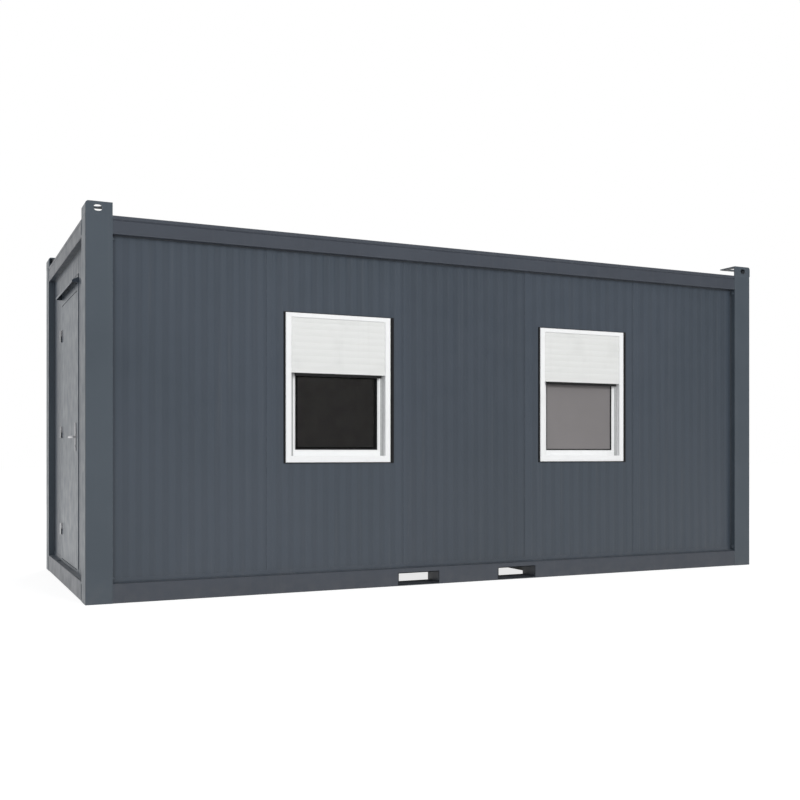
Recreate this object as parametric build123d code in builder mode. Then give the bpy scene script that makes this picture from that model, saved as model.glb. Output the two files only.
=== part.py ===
from build123d import *
import os

# A portable site cabin: a steel frame of posts and rails, closed with ribbed sandwich panels.
# X runs along the cabin, Y across it and Z up. The origin is at the middle of the footprint,
# on the ground. The windows face -Y and the door is in the gable at -X.

# Overall module, a twenty-foot transport size
cabin_length = 6058.0
cabin_width = 2438.0
cabin_height = 2800.0  # to the top of the corner fittings

# Corner posts
post_face_side = 185.0  # width seen from a long side
post_face_end = 190.0  # width seen from a gable
post_sheet = 5.0
post_corner_radius = 8.0
post_end_plate = 10.0

# Floor and roof rails, rolled lipped channels
floor_rail_height = 138.0
floor_rail_depth = 190.0
floor_rail_sheet = 4.0
floor_rail_lip = 42.0
floor_rail_radius = 7.0
roof_rail_height = 130.0
roof_rail_sheet = 3.0
roof_rail_lip = 44.0
roof_rail_radius = 6.0
bead_width = 16.0  # drip groove rolled into the face of a roof rail
bead_depth = 7.0
bead_lift = 100.0  # middle of the groove above the underside of the rail

# Corner fittings on the post heads
fitting_rise = 88.0
fitting_plate = 10.0
fitting_corner_radius = 22.0
eye_length = 60.0  # oval lifting eye
eye_height = 45.0
eye_inset = 85.0  # from the end of the cabin to the middle of the eye
eye_drop = 44.0  # from the top of the fitting to the middle of the eye
top_slot_length = 124.0  # opening in the top plate, along Y
top_slot_width = 76.0

# Fork pockets through the floor frame
pocket_width = 355.0
pocket_height = 86.0
pocket_spacing = 915.0  # between the middles of the two pockets
pocket_lift = 14.0  # underside of the opening above the ground
pocket_sleeve = 6.0

# Floor
joist_height = 84.0
joist_flange = 45.0
joist_sheet = 3.0
joist_lift = 20.0
joist_pocket_margin = 125.0  # from a pocket's side to the middle of the joist beside it
joist_pitch = 540.0
deck_thickness = 22.0

# Wall panels
wall_recess = 50.0  # panel faces stand this far behind the frame
wall_thickness = 80.0
side_panel_count = 5
end_panel_count = 2
rib_pitch = 94.8
rib_depth = 2.0
rib_crest = 30.0
rib_slope = 17.0
joint_bevel = 3.0  # bevelled edges that make the V between two panels

# Roof
ceiling_thickness = 50.0
roof_sheet_thickness = 2.0
roof_sheet_drop = 38.0  # flat of the roof sheet below the top of the roof rails
roof_rib_pitch = 250.0
roof_rib_height = 20.0
roof_rib_crest = 24.0
roof_rib_slope = 12.0

# Windows with roller shutters
window_panels = [2, 4]  # counted from the door end
window_width = 870.0
window_height = 1137.0
window_sill_level = 980.0
window_shift = 11.0  # middle of a window past the middle of its panel, away from the door
window_proud = 20.0  # frame face in front of the panel face
window_inside_proud = 20.0
window_chamfer = 4.0
guide_face = 45.0
head_face = 35.0
sill_face = 50.0
sash_face = 47.0
sash_depth = 38.0
sash_chamfer = 10.0
sash_setback = 45.0  # outer face of the sash behind the face of the outer frame
glass_thickness = 24.0
glass_setback = 17.0  # glass behind the outer face of its sash
curtain_drop = 420.0  # how far the curtain is let down below the head
curtain_setback = 8.0  # curtain behind the face of its guides
slat_pitch = 51.0
slat_thickness = 9.0
slat_bulge = 2.5
bottom_bar_height = 30.0
guide_slot_depth = 14.0
guide_slot_clearance = 0.3

# Door in the gable
door_frame_width = 1037.0
panel_above_door = 237.0  # from the door frame up to the roof rail
door_frame_setback = 46.0  # face of the door frame behind the steel frame
door_frame_chamfer = 2.0
door_jamb_face = 55.0
door_stop = 25.0
door_gap = 5.0
leaf_thickness = 40.0
leaf_edge_radius = 2.0
threshold_height = 22.0
hinge_radius = 8.0
hinge_pin_radius = 4.0
hinge_pin_clearance = 0.4
hinge_half_length = 48.0
hinge_plate_width = 36.0
hinge_plate_thickness = 4.0
hinge_axis_setback = 37.0
hinge_end_inset = 250.0  # from the ends of the leaf to the outer hinges
handle_level = 1175.0
handle_inset = 65.0  # from the free edge of the leaf to the spindle
handle_plate_width = 36.0
handle_plate_height = 220.0
handle_plate_thickness = 6.0
handle_plate_radius = 8.0
lever_reach = 44.0  # lever in front of the leaf face
lever_length = 125.0
lever_radius = 9.0
lever_bend = 13.0
lock_drop = 72.0  # lock cylinder below the spindle
lock_radius = 8.5
lock_proud = 3.0

# Rain canopy over the door
canopy_inset = 18.5  # ends of the canopy in from the ends of the door frame
canopy_height = 42.0
canopy_front_lip = 16.0
canopy_sheet = 3.0
canopy_setback = 2.0

# Places worked out from the sizes above
half_length = cabin_length / 2
half_width = cabin_width / 2
rail_top = cabin_height - fitting_rise
wall_base = floor_rail_height
wall_top = rail_top - roof_rail_height
wall_face = wall_recess  # measured in from the frame, as inner_face is
inner_face = wall_recess + wall_thickness
side_run = cabin_length - 2 * post_face_side  # clear run between posts on a long side
end_run = cabin_width - 2 * post_face_end
side_panel_width = side_run / side_panel_count
end_panel_width = end_run / end_panel_count
deck_top = wall_base + deck_thickness
corners = {
    "door_end_front": (-1, -1),
    "door_end_back": (-1, 1),
    "far_end_front": (1, -1),
    "far_end_back": (1, 1),
}

os.makedirs("parts", exist_ok=True)


def save(builder, name):
    """Label a finished piece and write it to its own file."""
    builder.part.label = name
    export_step(builder.part, f"parts/{name}.step")


def box_between(low, high, mode=Mode.ADD):
    """A box from its lowest to its highest corner, inside the current part."""
    size = [b - a for a, b in zip(low, high)]
    middle = [(a + b) / 2 for a, b in zip(low, high)]
    with Locations(tuple(middle)):
        Box(*size, mode=mode)


# Corner posts: closed L sections with a plate at the foot and at the head


def post_section(x_side, y_side, z, sheet=0.0):
    """The L of a post as a sketch at height z, drawn in by the thickness of its sheet."""
    x_out, y_out = x_side * half_length, y_side * half_width
    x_arm, y_arm = x_out - x_side * post_face_side, y_out - y_side * post_face_end
    x_in, y_in = x_out - x_side * inner_face, y_out - y_side * inner_face
    with BuildSketch(Plane.XY.offset(z)) as section:
        with BuildLine():
            Polyline(
                (x_out, y_out), (x_arm, y_out), (x_arm, y_in), (x_in, y_in), (x_in, y_arm), (x_out, y_arm), close=True
            )
        make_face()
        outer_corner = section.vertices().sort_by_distance((x_out, y_out))[0]
        fillet(outer_corner, post_corner_radius)
        if sheet:
            offset(amount=-sheet, kind=Kind.INTERSECTION, mode=Mode.REPLACE)
    return section.sketch


for corner, (x_side, y_side) in corners.items():
    with BuildPart() as post:
        extrude(post_section(x_side, y_side, 0), amount=rail_top)
        hollow = post_section(x_side, y_side, post_end_plate, sheet=post_sheet)
        extrude(hollow, amount=rail_top - 2 * post_end_plate, mode=Mode.SUBTRACT)
    save(post, f"post_{corner}")


# Rails: each section is drawn with x running in from the face of the frame and y up


def rail_section(plane, depth, height, sheet, lip, radius, base, bead=False):
    """A channel with rounded outer corners, lips on its inner side and, on a roof rail, a bead."""
    with BuildSketch(plane) as section:
        with BuildLine():
            outline = [(0, base), (depth, base), (depth, base + height), (0, base + height)]
            if bead:
                middle = base + bead_lift
                outline += [(0, middle + bead_width / 2), (bead_depth, middle), (0, middle - bead_width / 2)]
            Polyline(*outline, close=True)
        make_face()
        outer_corners = [section.vertices().sort_by_distance((0, level))[0] for level in (base, base + height)]
        fillet(outer_corners, radius)
        offset(amount=-sheet, kind=Kind.INTERSECTION, mode=Mode.SUBTRACT)
        with Locations((depth - sheet / 2, base + height / 2)):
            Rectangle(sheet, height - 2 * lip, mode=Mode.SUBTRACT)
    return section.sketch


floor_sizes = (floor_rail_depth, floor_rail_height, floor_rail_sheet, floor_rail_lip, floor_rail_radius, 0)
roof_sizes = (inner_face, roof_rail_height, roof_rail_sheet, roof_rail_lip, roof_rail_radius, wall_top)

for side, y_side in (("front", -1), ("back", 1)):
    along = Plane(origin=(-side_run / 2, y_side * half_width, 0), x_dir=(0, -y_side, 0), z_dir=(-y_side, 0, 0))
    with BuildPart() as floor_rail:
        extrude(rail_section(along, *floor_sizes), amount=-y_side * side_run)
        y_middle = y_side * (half_width - floor_rail_depth / 2)
        z_middle = pocket_lift + pocket_height / 2
        with Locations((-pocket_spacing / 2, y_middle, z_middle), (pocket_spacing / 2, y_middle, z_middle)):
            Box(pocket_width + 2 * pocket_sleeve, floor_rail_depth, pocket_height + 2 * pocket_sleeve)
            Box(pocket_width, floor_rail_depth, pocket_height, mode=Mode.SUBTRACT)
    save(floor_rail, f"floor_rail_{side}")

    with BuildPart() as roof_rail:
        extrude(rail_section(along, *roof_sizes, bead=True), amount=-y_side * side_run)
    save(roof_rail, f"roof_rail_{side}")

floor_end_run = cabin_width - 2 * floor_rail_depth
for end, x_side in (("door_end", -1), ("far_end", 1)):
    across = Plane(origin=(x_side * half_length, 0, 0), x_dir=(-x_side, 0, 0), z_dir=(0, x_side, 0))
    with BuildPart() as floor_rail:
        extrude(rail_section(across, *floor_sizes), amount=floor_end_run / 2, both=True)
    save(floor_rail, f"floor_rail_{end}")

    with BuildPart() as roof_rail:
        extrude(rail_section(across, *roof_sizes, bead=True), amount=end_run / 2, both=True)
    save(roof_rail, f"roof_rail_{end}")

# Corner fittings: a plate on the long side with a lifting eye, one on the end and one on top with a slot
with BuildPart() as top_corner_fittings:
    for x_side, y_side in corners.values():
        x_middle = x_side * (half_length - post_face_side / 2)
        y_middle = y_side * (half_width - post_face_end / 2)
        z_middle = rail_top + fitting_rise / 2
        with BuildPart(mode=Mode.PRIVATE) as fitting:
            with Locations((x_middle, y_middle, z_middle)):
                Box(post_face_side, post_face_end, fitting_rise)
            upper_edges = fitting.edges().filter_by(Axis.Y).group_by(Axis.Z)[-1].sort_by(Axis.X)
            fillet(upper_edges[-1 if x_side > 0 else 0], fitting_corner_radius)
            inset = Vector(x_side * fitting_plate, y_side * fitting_plate, fitting_plate)
            with Locations(Vector(x_middle, y_middle, z_middle) - inset):
                Box(post_face_side, post_face_end, fitting_rise, mode=Mode.SUBTRACT)
            with BuildSketch(Plane.XZ.offset(-y_side * half_width)):
                with Locations((x_side * (half_length - eye_inset), cabin_height - eye_drop)):
                    SlotOverall(eye_length, eye_height)
            extrude(amount=fitting_plate, both=True, mode=Mode.SUBTRACT)
            with BuildSketch(Plane.XY.offset(cabin_height)):
                with Locations((x_middle, y_middle)):
                    SlotOverall(top_slot_length, top_slot_width, rotation=90)
            extrude(amount=-fitting_plate, mode=Mode.SUBTRACT)
        add(fitting.part)
save(top_corner_fittings, "top_corner_fittings")

# Floor joists: channels between the long rails, one in the middle and the rest clear of the pockets
first_joist = pocket_spacing / 2 + pocket_width / 2 + joist_pocket_margin
last_joist = half_length - floor_rail_depth - joist_flange
outer_joists = int((last_joist - first_joist) // joist_pitch) + 1
stations = [first_joist + number * joist_pitch for number in range(outer_joists)]
with BuildPart() as floor_joists:
    for station in [0.0] + stations + [-x for x in stations]:
        with BuildSketch(Plane.XZ):
            with Locations((station, joist_lift + joist_height / 2)):
                Rectangle(joist_flange, joist_height)
            with Locations((station + joist_sheet, joist_lift + joist_height / 2)):
                Rectangle(joist_flange, joist_height - 2 * joist_sheet, mode=Mode.SUBTRACT)
        extrude(amount=half_width - floor_rail_depth, both=True)
save(floor_joists, "floor_joists")

# Insulated floor pan between the rails, and the deck boards on it
with BuildPart() as floor_pan:
    box_between(
        (-half_length + floor_rail_depth, -half_width + floor_rail_depth, joist_lift + joist_height),
        (half_length - floor_rail_depth, half_width - floor_rail_depth, wall_base),
    )
save(floor_pan, "floor_pan")

with BuildPart() as floor_deck:
    box_between(
        (-half_length + inner_face, -half_width + inner_face, wall_base),
        (half_length - inner_face, half_width - inner_face, deck_top),
    )
save(floor_deck, "floor_deck")

# Ceiling panel between the roof rails
with BuildPart() as ceiling_panel:
    box_between(
        (-half_length + inner_face, -half_width + inner_face, wall_top),
        (half_length - inner_face, half_width - inner_face, wall_top + ceiling_thickness),
    )
save(ceiling_panel, "ceiling_panel")


def rib_line(length, pitch, crest, slope, low, high):
    """Points of a ribbed surface along a length: flats at low, with crests at high between them."""
    count = max(1, round(length / pitch))
    cell = length / count
    points = []
    for number in range(count):
        middle = (number + 0.5) * cell
        for reach, level in ((-crest / 2 - slope, low), (-crest / 2, high), (crest / 2, high), (crest / 2 + slope, low)):
            points.append((middle + reach, level))
    return points


# Roof sheet: trapezoidal steel sheet, its ribs across the cabin, set between the roof rails
roof_flat = rail_top - roof_sheet_drop
roof_run = cabin_length - 2 * inner_face
roof_upper = [(0, roof_flat)]
roof_upper += rib_line(
    roof_run, roof_rib_pitch, roof_rib_crest, roof_rib_slope, roof_flat, roof_flat + roof_rib_height
)
roof_upper += [(roof_run, roof_flat)]
roof_lower = [(x, z - roof_sheet_thickness) for x, z in reversed(roof_upper)]
with BuildPart() as roof_sheet:
    with BuildSketch(Plane.XZ.shift_origin((-roof_run / 2, 0, 0))):
        with BuildLine():
            Polyline(*roof_upper, *roof_lower, close=True)
        make_face()
    extrude(amount=half_width - inner_face, both=True)
save(roof_sheet, "roof_sheet")

# Wall panels: upright sandwich panels with fine ribs outside and bevelled joints between them


def panel_section(width):
    """Plan outline of a panel, x along the wall and y in from the frame, with its ribs at y low."""
    ribs = rib_line(width, rib_pitch, rib_crest, rib_slope, wall_face + rib_depth, wall_face)
    bevel_back = wall_face + rib_depth + joint_bevel
    outer = [(0, bevel_back), (joint_bevel, wall_face + rib_depth)]
    outer += ribs + [(width - joint_bevel, wall_face + rib_depth), (width, bevel_back)]
    return outer + [(width, inner_face), (0, inner_face)]


def wall_panel(name, base_plane, width, low, high, window_bottom=None):
    """A panel that stands on a plane whose x runs along the wall and y into the cabin."""
    with BuildPart() as panel:
        with BuildSketch(base_plane.offset(low)):
            with BuildLine():
                Polyline(*panel_section(width), close=True)
            make_face()
        extrude(amount=high - low)
        if window_bottom is not None:
            with BuildSketch(base_plane.offset(window_bottom)):
                with Locations((width / 2 + window_shift, (wall_face + inner_face) / 2)):
                    Rectangle(window_width, wall_thickness)
            extrude(amount=window_height, mode=Mode.SUBTRACT)
    save(panel, name)


def wall_plane(corner_x, corner_y, along):
    """The ground plane of a wall, from its left end as seen from outside."""
    return Plane(origin=(corner_x, corner_y, 0), x_dir=along, z_dir=(0, 0, 1))


for number in range(side_panel_count):
    start = number * side_panel_width - side_run / 2
    window_bottom = window_sill_level if number + 1 in window_panels else None
    front_plane = wall_plane(start, -half_width, (1, 0, 0))
    back_plane = wall_plane(-start, half_width, (-1, 0, 0))
    wall_panel(f"front_panel_{number + 1}", front_plane, side_panel_width, wall_base, wall_top, window_bottom)
    wall_panel(f"back_panel_{number + 1}", back_plane, side_panel_width, wall_base, wall_top)

for number in range(end_panel_count):
    far_plane = wall_plane(half_length, number * end_panel_width - end_run / 2, (0, 1, 0))
    wall_panel(f"far_end_panel_{number + 1}", far_plane, end_panel_width, wall_base, wall_top)

door_head = wall_top - panel_above_door
beside_door = (end_run - door_frame_width) / 2
back_of_door = wall_plane(-half_length, end_run / 2, (0, -1, 0))
above_door = wall_plane(-half_length, door_frame_width / 2, (0, -1, 0))
front_of_door = wall_plane(-half_length, -door_frame_width / 2, (0, -1, 0))
wall_panel("door_end_panel_back", back_of_door, beside_door, wall_base, wall_top)
wall_panel("door_end_panel_above", above_door, door_frame_width, door_head, wall_top)
wall_panel("door_end_panel_front", front_of_door, beside_door, wall_base, wall_top)

# Windows, from the outside in: outer frame with guide slots, shutter curtain, sash, glass
front = -half_width
frame_front = front + wall_recess - window_proud
frame_back = front + inner_face + window_inside_proud
sash_front = frame_front + sash_setback
sash_back = sash_front + sash_depth
clear_width = window_width - 2 * guide_face
clear_low = window_sill_level + sill_face
clear_high = window_sill_level + window_height - head_face
clear_height = clear_high - clear_low
curtain_front = frame_front + curtain_setback
slot_thickness = slat_thickness + 2 * guide_slot_clearance


def window_middle(number):
    """Where the middle of the window in a front panel lies along the cabin."""
    return (number - 0.5) * side_panel_width - side_run / 2 + window_shift


def front_plane_at(middle, y):
    """An upright plane that faces the front, with its origin on the ground below a window."""
    return Plane(origin=(middle, y, 0), x_dir=(1, 0, 0), z_dir=(0, -1, 0))


for side, number in zip(("left", "right"), window_panels):
    middle = window_middle(number)
    with BuildPart() as window_frame:
        with BuildSketch(front_plane_at(middle, frame_back)):
            with Locations((0, window_sill_level + window_height / 2)):
                Rectangle(window_width, window_height)
            with Locations((0, (clear_low + clear_high) / 2)):
                Rectangle(clear_width, clear_height, mode=Mode.SUBTRACT)
        extrude(amount=frame_back - frame_front)
        chamfer(window_frame.faces().sort_by(Axis.Y)[0].edges(), window_chamfer)
        box_between(
            (middle - clear_width / 2 - guide_slot_depth, curtain_front - guide_slot_clearance, clear_low),
            (
                middle + clear_width / 2 + guide_slot_depth,
                curtain_front - guide_slot_clearance + slot_thickness,
                clear_high + guide_slot_depth,
            ),
            mode=Mode.SUBTRACT,
        )
    save(window_frame, f"window_frame_{side}")

    with BuildPart() as window_glass:
        with BuildSketch(front_plane_at(middle, sash_front + glass_setback + glass_thickness)):
            with Locations((0, (clear_low + clear_high) / 2)):
                Rectangle(clear_width - 2 * sash_face, clear_height - 2 * sash_face)
        extrude(amount=glass_thickness)
    save(window_glass, f"window_glass_{side}")

    # The curtain's slats bulge outwards; its ends run in the guide slots and its top in the head
    curtain_top = clear_high + guide_slot_depth
    curtain_low = clear_high - curtain_drop
    slats_low = curtain_low + bottom_bar_height
    slat_count = round((curtain_top - slats_low) / slat_pitch)
    slat_height = (curtain_top - slats_low) / slat_count
    curtain_half = clear_width / 2 + guide_slot_depth - guide_slot_clearance
    with BuildPart() as shutter_curtain:
        with BuildSketch(Plane.YZ.offset(middle - curtain_half)):
            with BuildLine():
                crest = curtain_front
                valley = curtain_front + slat_bulge
                back = curtain_front + slat_thickness
                Polyline(
                    (valley, curtain_top), (back, curtain_top), (back, curtain_low), (crest, curtain_low), (crest, slats_low),
                    (valley, slats_low),
                )
                for slat in range(slat_count):
                    low = slats_low + slat * slat_height
                    ThreePointArc((valley, low), (crest, low + slat_height / 2), (valley, low + slat_height))
            make_face()
        extrude(amount=2 * curtain_half)
    save(shutter_curtain, f"shutter_curtain_{side}")

with BuildPart() as window_sashes:
    for number in window_panels:
        with BuildPart(mode=Mode.PRIVATE) as sash:
            with BuildSketch(front_plane_at(window_middle(number), sash_back)):
                with Locations((0, (clear_low + clear_high) / 2)):
                    Rectangle(clear_width, clear_height)
                    Rectangle(clear_width - 2 * sash_face, clear_height - 2 * sash_face, mode=Mode.SUBTRACT)
            extrude(amount=sash_depth)
            chamfer(sash.faces().sort_by(Axis.Y)[0].inner_wires()[0].edges(), sash_chamfer)
        add(sash.part)
save(window_sashes, "window_sashes")

# Door places; the leaf opens outwards about an upright axis at its back edge
gable = -half_length
door_face = gable + door_frame_setback
door_back = gable + inner_face
leaf_back = door_face + leaf_thickness
rebate_back = leaf_back + door_gap
rebate_width = door_frame_width - 2 * door_jamb_face
rebate_head = door_head - door_jamb_face
doorway_width = rebate_width - 2 * door_stop
threshold_top = wall_base + threshold_height
leaf_low = threshold_top + door_gap
leaf_high = rebate_head - door_gap
leaf_half_width = rebate_width / 2 - door_gap
hinge_x = gable + hinge_axis_setback
hinge_y = rebate_width / 2 - door_gap / 2
hinge_levels = [leaf_low + hinge_end_inset, (leaf_low + leaf_high) / 2, leaf_high - hinge_end_inset]

with BuildPart() as door_frame:
    box_between((door_face, -door_frame_width / 2, wall_base), (door_back, door_frame_width / 2, door_head))
    chamfer(door_frame.faces().sort_by(Axis.X)[0].edges(), door_frame_chamfer)
    box_between(
        (door_face, -rebate_width / 2, threshold_top), (rebate_back, rebate_width / 2, rebate_head), mode=Mode.SUBTRACT
    )
    box_between(
        (rebate_back, -doorway_width / 2, threshold_top),
        (door_back, doorway_width / 2, rebate_head - door_stop),
        mode=Mode.SUBTRACT,
    )
save(door_frame, "door_frame")

with BuildPart() as door_leaf:
    box_between((door_face, -leaf_half_width, leaf_low), (leaf_back, leaf_half_width, leaf_high))
    fillet(door_leaf.faces().sort_by(Axis.X)[0].edges(), leaf_edge_radius)
save(door_leaf, "door_leaf")


def hinge_circle(level, radius):
    """A circle about the hinge axis, at a level."""
    with BuildSketch(Plane.XY.offset(level)) as section:
        with Locations((hinge_x, hinge_y)):
            Circle(radius)
    return section.sketch


# Hinges: the lower half of each, with its pin, is on the frame, and the upper half on the leaf
hinge_plate_face = door_face - hinge_plate_thickness
with BuildPart() as hinge_frame_halves:
    for level in hinge_levels:
        low = level - hinge_half_length
        box_between((hinge_plate_face, hinge_y, low), (door_face, hinge_y + hinge_plate_width, level))
        extrude(hinge_circle(low, hinge_radius), amount=hinge_half_length)
        extrude(hinge_circle(low, hinge_pin_radius), amount=2 * hinge_half_length)
save(hinge_frame_halves, "hinge_frame_halves")

with BuildPart() as hinge_leaf_halves:
    for level in hinge_levels:
        low = level + hinge_pin_clearance
        high = low + hinge_half_length
        box_between((hinge_plate_face, hinge_y - hinge_plate_width, low), (door_face, hinge_y, high))
        extrude(hinge_circle(low, hinge_radius), amount=hinge_half_length)
        pin_hole = hinge_circle(low, hinge_pin_radius + hinge_pin_clearance)
        extrude(pin_hole, amount=hinge_half_length, mode=Mode.SUBTRACT)
save(hinge_leaf_halves, "hinge_leaf_halves")

# Lever handle: alike on both faces of the leaf, a long plate, a bent lever and a lock cylinder
handle_y = -leaf_half_width + handle_inset
with BuildPart() as door_handle:
    for face, outward in ((door_face, -1), (leaf_back, 1)):
        plate_plane = Plane(origin=(face, handle_y, handle_level), x_dir=(0, 1, 0), z_dir=(outward, 0, 0))
        with BuildSketch(plate_plane):
            RectangleRounded(handle_plate_width, handle_plate_height, handle_plate_radius)
        extrude(amount=handle_plate_thickness)
        lock_y_sign = plate_plane.y_dir.Z
        with BuildSketch(plate_plane):
            with Locations((0, -lock_drop * lock_y_sign)):
                Circle(lock_radius)
        extrude(amount=handle_plate_thickness + lock_proud)
        lever_x = face + outward * (lever_reach - lever_radius)
        tip_y = handle_y + lever_length
        with BuildLine():
            lever_path = FilletPolyline(
                (face, handle_y, handle_level),
                (lever_x, handle_y, handle_level),
                (lever_x, tip_y, handle_level),
                radius=lever_bend,
            )
        with BuildSketch(plate_plane):
            Circle(lever_radius)
        sweep(path=lever_path)
save(door_handle, "door_handle")

# Folded rain canopy over the door: a sloping sheet with a front lip, closed at both ends
canopy_back = gable + wall_face
canopy_nose = gable + canopy_setback
canopy_top = door_head + canopy_height
canopy_half = door_frame_width / 2 - canopy_inset
canopy_outline = [
    (canopy_back, door_head),
    (canopy_back, canopy_top),
    (canopy_nose, door_head + canopy_front_lip),
    (canopy_nose, door_head),
]
with BuildPart() as door_canopy:
    with BuildSketch(Plane.XZ):
        with BuildLine():
            Polyline(*canopy_outline, close=True)
        make_face()
    extrude(amount=canopy_half, both=True)
    with BuildSketch(Plane.XZ):
        with BuildLine():
            Polyline(*canopy_outline, close=True)
        make_face()
        offset(amount=-canopy_sheet, kind=Kind.INTERSECTION, mode=Mode.REPLACE)
        with Locations(((canopy_back + canopy_nose) / 2, door_head + canopy_sheet / 2)):
            Rectangle(canopy_back - canopy_nose - 2 * canopy_sheet, canopy_sheet)
    extrude(amount=canopy_half - canopy_sheet, both=True, mode=Mode.SUBTRACT)
save(door_canopy, "door_canopy")
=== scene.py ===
import math

import bmesh
import bpy
import numpy as np
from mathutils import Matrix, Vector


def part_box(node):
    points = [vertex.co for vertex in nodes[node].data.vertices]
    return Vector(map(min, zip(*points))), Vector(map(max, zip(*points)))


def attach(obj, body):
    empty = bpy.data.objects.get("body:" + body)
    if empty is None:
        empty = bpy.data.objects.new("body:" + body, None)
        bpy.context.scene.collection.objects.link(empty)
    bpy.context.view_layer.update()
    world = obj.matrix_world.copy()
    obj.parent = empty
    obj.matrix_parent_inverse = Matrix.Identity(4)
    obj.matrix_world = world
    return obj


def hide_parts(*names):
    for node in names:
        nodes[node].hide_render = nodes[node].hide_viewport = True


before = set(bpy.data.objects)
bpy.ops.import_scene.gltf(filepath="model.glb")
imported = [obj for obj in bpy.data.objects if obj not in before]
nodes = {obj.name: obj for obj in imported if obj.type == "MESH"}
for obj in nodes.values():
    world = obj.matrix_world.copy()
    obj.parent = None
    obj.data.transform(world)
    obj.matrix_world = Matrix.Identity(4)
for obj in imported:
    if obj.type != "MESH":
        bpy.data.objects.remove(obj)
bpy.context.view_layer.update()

# --------------------------------------------------------------
# Studio: a level camera at the door end, a white surround, four large soft lamps and a pale
# floor. The surround is dimmer in front of the cabin, so that the window panes stay dark.

CAMERA_PLACE = (-4.03486, -8.38225, 1.05262)
CAMERA_TURN = 24.808
CAMERA_LENS = 45.159
CAMERA_SHIFT = (0.0143, 0.0662)

camera_data = bpy.data.cameras.new("camera")
camera_data.sensor_width = 36.0
camera_data.lens = CAMERA_LENS
camera_data.shift_x, camera_data.shift_y = CAMERA_SHIFT
camera_data.clip_end = 200.0
camera = bpy.data.objects.new("camera", camera_data)
camera.location = CAMERA_PLACE
camera.rotation_euler = (math.radians(90.0), 0.0, math.radians(-CAMERA_TURN))
bpy.context.scene.collection.objects.link(camera)
bpy.context.scene.camera = camera
bpy.context.scene.view_settings.view_transform = "Standard"


def add_lamp(name, place, aim, size, power, colour):
    """A rectangular soft lamp of size metres that looks from place towards aim."""
    data = bpy.data.lights.new(name, "AREA")
    data.shape = "RECTANGLE"
    data.size, data.size_y = size
    data.energy = power
    data.color = colour
    lamp = bpy.data.objects.new(name, data)
    lamp.location = place
    away = np.array(place) - np.array(aim)
    flat = math.hypot(away[0], away[1])
    lamp.rotation_euler = (math.atan2(flat, away[2]), 0.0, math.atan2(away[0], -away[1]))
    bpy.context.scene.collection.objects.link(lamp)
    lamp.visible_glossy = False


add_lamp("key_lamp", (1.4, -12.0, 5.6), (0.1, 0.0, 1.2), (5.0, 4.0), 610.0, (1.0, 0.99, 0.97))
add_lamp("fill_lamp", (-7.0, -10.0, 4.5), (-0.5, 0.0, 1.3), (6.0, 5.0), 210.0, (0.97, 0.985, 1.0))
add_lamp("back_lamp", (3.0, 11.0, 5.6), (0.0, 0.0, 1.2), (6.0, 5.0), 430.0, (0.98, 0.99, 1.0))
add_lamp("end_lamp", (-10.0, 3.0, 4.0), (-3.0, 0.0, 1.3), (4.0, 4.0), 110.0, (0.98, 0.99, 1.0))


def add_node(tree, kind, inputs=None, **settings):
    """Puts a node in a tree. Each input is a plain value, or the socket that is joined to it."""
    made = tree.nodes.new(kind)
    for key, value in settings.items():
        setattr(made, key, value)
    for key, value in (inputs or {}).items():
        if isinstance(value, bpy.types.NodeSocket):
            tree.links.new(value, made.inputs[key])
        else:
            made.inputs[key].default_value = value
    return made


def axis_of(tree, vector, axis):
    """One part of a vector: X, Y or Z."""
    return add_node(tree, "ShaderNodeSeparateXYZ", {"Vector": vector}).outputs[axis]


def combined(tree, operation, first, second=0.0, clamp=False):
    """Two values put together by an operation such as MULTIPLY or MAXIMUM."""
    return add_node(tree, "ShaderNodeMath", {0: first, 1: second}, operation=operation, use_clamp=clamp).outputs[0]


def spread(tree, value, low, high, new_low=0.0, new_high=1.0, ease="SMOOTHSTEP"):
    """A value brought from low to high into new_low to new_high, with eased or LINEAR ends."""
    sockets = {"Value": value, "From Min": low, "From Max": high, "To Min": new_low, "To Max": new_high}
    return add_node(tree, "ShaderNodeMapRange", sockets, interpolation_type=ease).outputs[0]


def between(tree, share, first, second):
    """One value moved towards another by a share."""
    return add_node(tree, "ShaderNodeMix", {0: share, 2: first, 3: second}, data_type="FLOAT").outputs[0]


WORLD_DIFFUSE = 0.55
WORLD_FRONT_GLOSS = 0.22
WORLD_BACK_GLOSS = 0.90
WORLD_OVERHEAD_GLOSS = 0.95
WHITE = (1.0, 1.0, 1.0, 1.0)

world = bpy.data.worlds.new("studio")
world.use_nodes = True
bpy.context.scene.world = world
tree = world.node_tree
tree.nodes.clear()
ray = add_node(tree, "ShaderNodeLightPath").outputs
heading = add_node(tree, "ShaderNodeTexCoord").outputs["Generated"]
gloss = spread(tree, axis_of(tree, heading, "Y"), -0.25, 0.35, WORLD_FRONT_GLOSS, WORLD_BACK_GLOSS)
gloss = spread(tree, axis_of(tree, heading, "Z"), 0.20, 0.50, gloss, WORLD_OVERHEAD_GLOSS)
mirrored = combined(tree, "MAXIMUM", ray["Is Glossy Ray"], ray["Is Transmission Ray"])
level = between(tree, mirrored, WORLD_DIFFUSE, gloss)
level = between(tree, ray["Is Camera Ray"], level, 1.0)
surround = add_node(tree, "ShaderNodeBackground", {"Color": WHITE, "Strength": level})
add_node(tree, "ShaderNodeOutputWorld", {"Surface": surround.outputs[0]})

# Floor: it glows a little where it is seen, and is plain matt grey where it only lights the cabin
FLOOR_HALF = 60.0
FLOOR_GLOW = 0.78
FLOOR_SEEN = (0.42, 0.42, 0.42, 1.0)
FLOOR_PLAIN = (0.62, 0.62, 0.62, 1.0)

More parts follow.
